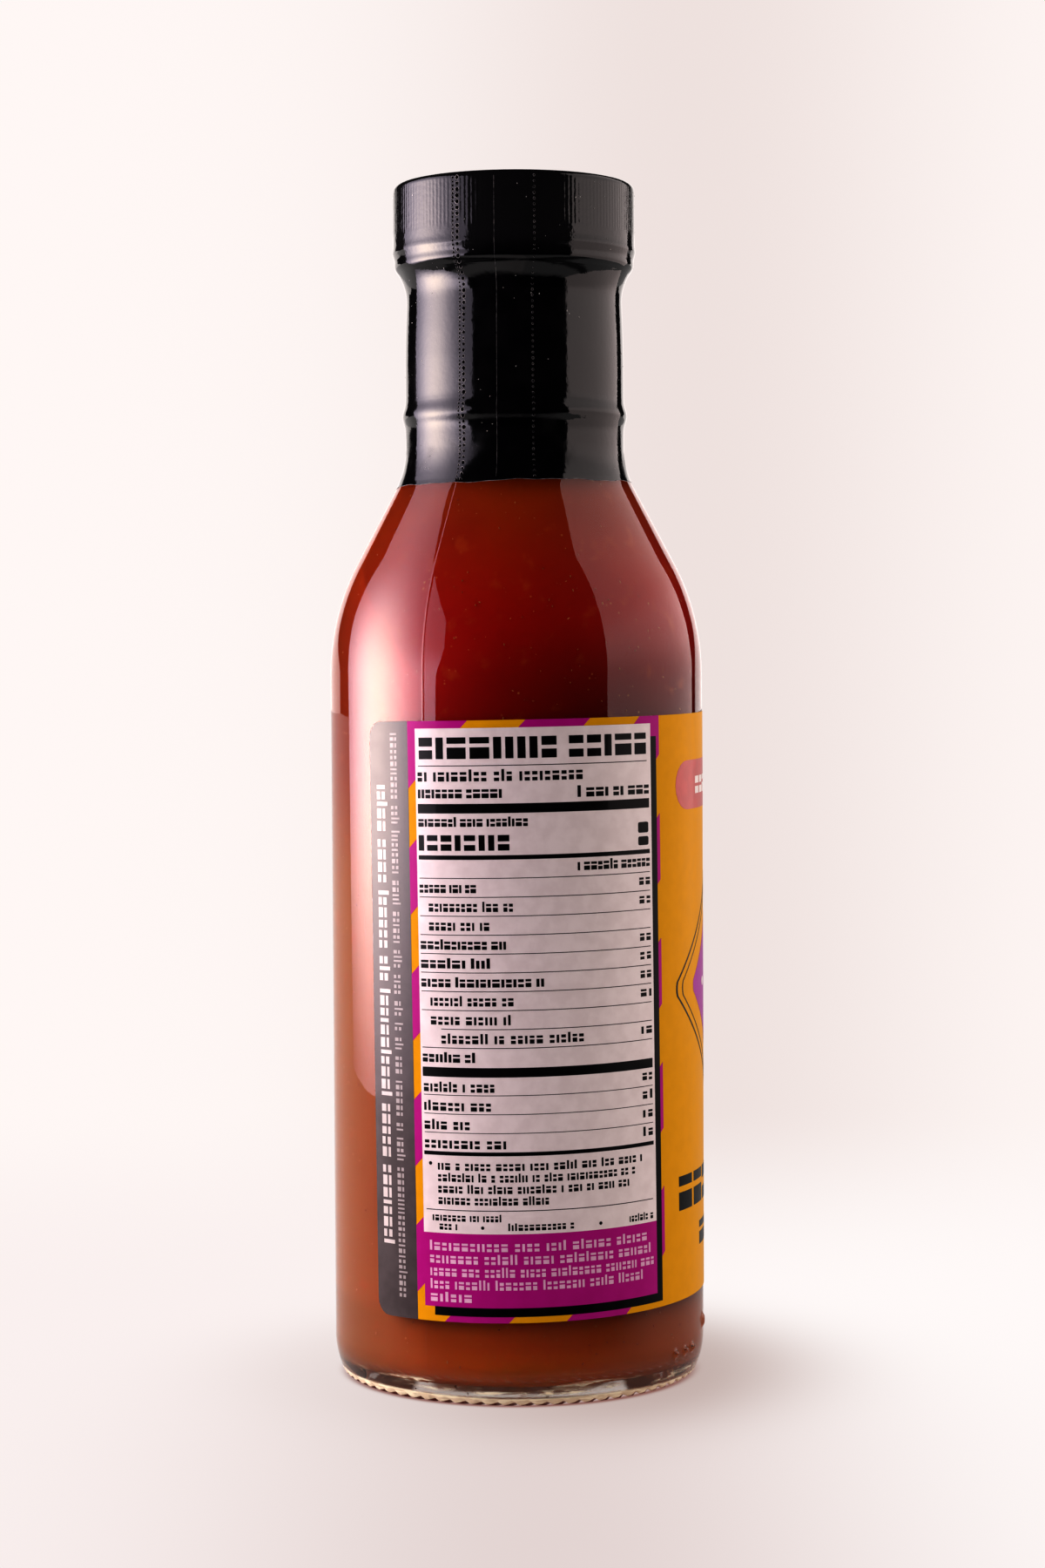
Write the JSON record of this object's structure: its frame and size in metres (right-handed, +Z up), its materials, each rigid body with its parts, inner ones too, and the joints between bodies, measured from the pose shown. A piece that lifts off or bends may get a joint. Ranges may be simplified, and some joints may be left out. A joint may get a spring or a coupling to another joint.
{
  "type": "hot sauce bottle",
  "caption": "Round clear glass bottle full of dark red sauce, shut with a black screw cap under a black shrink sleeve, with a printed label wrapped round its body.",
  "frame": {"origin": "middle of the foot, on the surface that the bottle stands on", "axes": "+Z up along the bottle's axis; the label side that the picture shows faces -Y"},
  "size_m": [0.0625, 0.0626, 0.197],
  "materials": {
    "clear_glass": "clear and glossy",
    "sauce": "thick dark red sauce with fine paler flecks",
    "black_plastic": "moulded black plastic",
    "black_film": "glossy black shrink film",
    "label_print": "semi-gloss printed label, mostly gold, magenta and white"
  },
  "bodies": {
    "root": {"glass_bottle": "clear_glass", "sauce": "sauce", "cap": "black_plastic", "shrink_sleeve": "black_film", "label": "label_print"}
  },
  "joints": []
}
